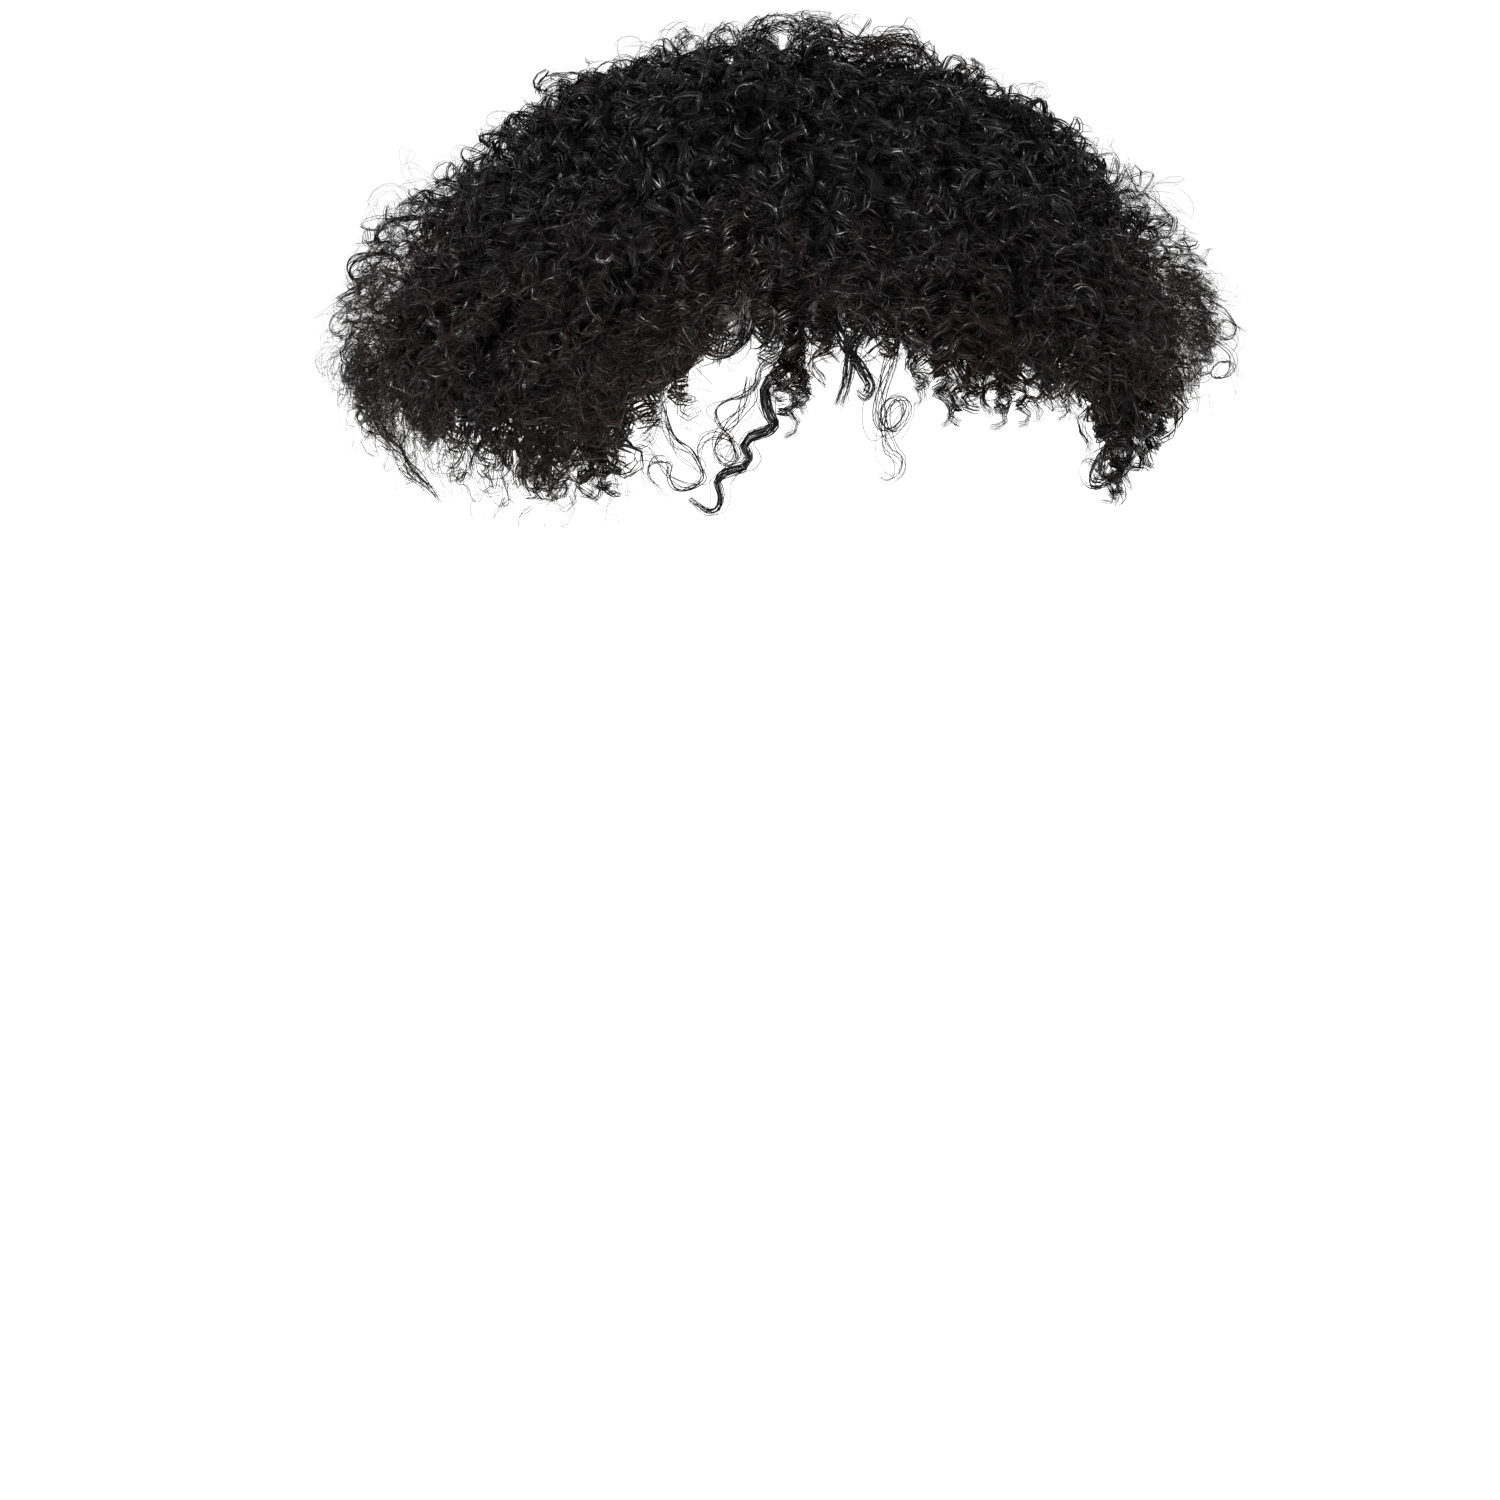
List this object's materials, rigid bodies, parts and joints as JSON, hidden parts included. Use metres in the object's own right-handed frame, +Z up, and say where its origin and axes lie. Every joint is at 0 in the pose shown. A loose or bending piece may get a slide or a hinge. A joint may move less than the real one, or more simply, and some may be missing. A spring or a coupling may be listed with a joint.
{
  "type": "toupee hairpiece",
  "caption": "Curly black toupee: a thin domed cap base that fits the crown of a head, with deep tight curls that fall over the forehead and flare wide at the sides and back.",
  "frame": {"origin": "inside of the base at its apex, where the crown of the head touches it", "axes": "+Z up, -Y the way the wearer faces, +X the wearer's left"},
  "size_m": [0.2974, 0.2804, 0.1491],
  "materials": {
    "hair": "natural black curly hair with a soft satin sheen and browner thin ends",
    "base": "matt dark brown fine net with a bound rim"
  },
  "bodies": {
    "root": {"base_cap": "base", "hair_top": "hair", "hair_fringe": "hair", "hair_left": "hair", "hair_right": "hair", "hair_back": "hair"}
  },
  "joints": []
}
